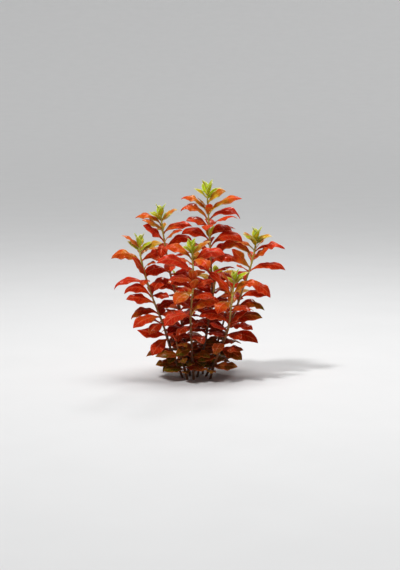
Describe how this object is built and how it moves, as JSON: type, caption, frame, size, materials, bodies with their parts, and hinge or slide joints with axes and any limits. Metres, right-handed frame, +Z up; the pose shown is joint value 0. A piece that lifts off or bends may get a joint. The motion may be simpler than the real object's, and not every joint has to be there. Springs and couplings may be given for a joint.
{
  "type": "ludwigia repens plant",
  "caption": "Leafy aquarium plant clump: upright stems with opposite red and orange leaves and yellow-green crowns, standing on its cut stems.",
  "frame": {"origin": "centre of the centre stem's cut face, level with the ground", "axes": "+X to the right as the plant is seen, +Y to the back, +Z up along the stems"},
  "size_m": [0.1844, 0.1097, 0.2095],
  "materials": {
    "leaf_brown": "satin",
    "leaf_deep_red": "satin",
    "leaf_orange": "satin",
    "leaf_pink_red": "satin",
    "leaf_red": "satin",
    "leaf_tan": "satin",
    "stem_and_inner_leaves": "satin"
  },
  "bodies": {
    "root": {"leaf_far_left_01": "leaf_pink_red", "leaf_far_left_02": "leaf_orange", "leaf_far_left_03": "leaf_pink_red", "leaf_far_left_04": "leaf_red", "leaf_far_left_05": "leaf_red", "leaf_far_left_06": "leaf_red", "leaf_far_left_07": "leaf_brown", "leaf_far_left_08": "leaf_red", "leaf_far_left_09": "leaf_red", "leaf_far_left_10": "leaf_red", "leaf_front_01": "leaf_orange", "leaf_front_02": "leaf_pink_red", "leaf_front_03": "leaf_orange", "leaf_front_04": "leaf_pink_red", "leaf_front_05": "leaf_tan", "leaf_front_06": "leaf_orange", "leaf_front_07": "leaf_pink_red", "leaf_low_right_01": "leaf_red", "leaf_low_right_02": "leaf_tan", "leaf_low_right_03": "leaf_orange", "leaf_low_right_04": "leaf_red", "leaf_right_01": "leaf_pink_red", "leaf_right_02": "leaf_orange", "leaf_right_03": "leaf_orange", "leaf_right_04": "leaf_red", "leaf_right_05": "leaf_red", "leaf_right_06": "leaf_deep_red", "leaf_right_07": "leaf_brown", "leaf_right_08": "leaf_brown", "leaf_right_09": "leaf_deep_red", "leaf_right_10": "leaf_deep_red", "leaf_right_11": "leaf_brown", "leaf_tall_01": "leaf_tan", "leaf_tall_02": "leaf_tan", "leaf_tall_03": "leaf_orange", "leaf_tall_04": "leaf_pink_red", "leaf_tall_05": "leaf_red", "leaf_tall_06": "leaf_red", "leaf_tall_07": "leaf_red", "leaf_tall_08": "leaf_deep_red", "leaf_upper_left_01": "leaf_orange", "leaf_upper_left_02": "leaf_red", "leaf_upper_left_03": "leaf_pink_red", "leaf_upper_left_04": "leaf_red", "leaf_upper_left_05": "leaf_red", "leaf_upper_left_06": "leaf_red", "leaf_upper_left_07": "leaf_deep_red", "leaf_upper_left_08": "leaf_red", "stem_back": "stem_and_inner_leaves", "stem_back_left": "stem_and_inner_leaves", "stem_back_right": "stem_and_inner_leaves", "stem_far_left": "stem_and_inner_leaves", "stem_front": "stem_and_inner_leaves", "stem_low_left": "stem_and_inner_leaves", "stem_low_right": "stem_and_inner_leaves", "stem_right": "stem_and_inner_leaves", "stem_tall": "stem_and_inner_leaves", "stem_upper_left": "stem_and_inner_leaves"}
  },
  "joints": []
}
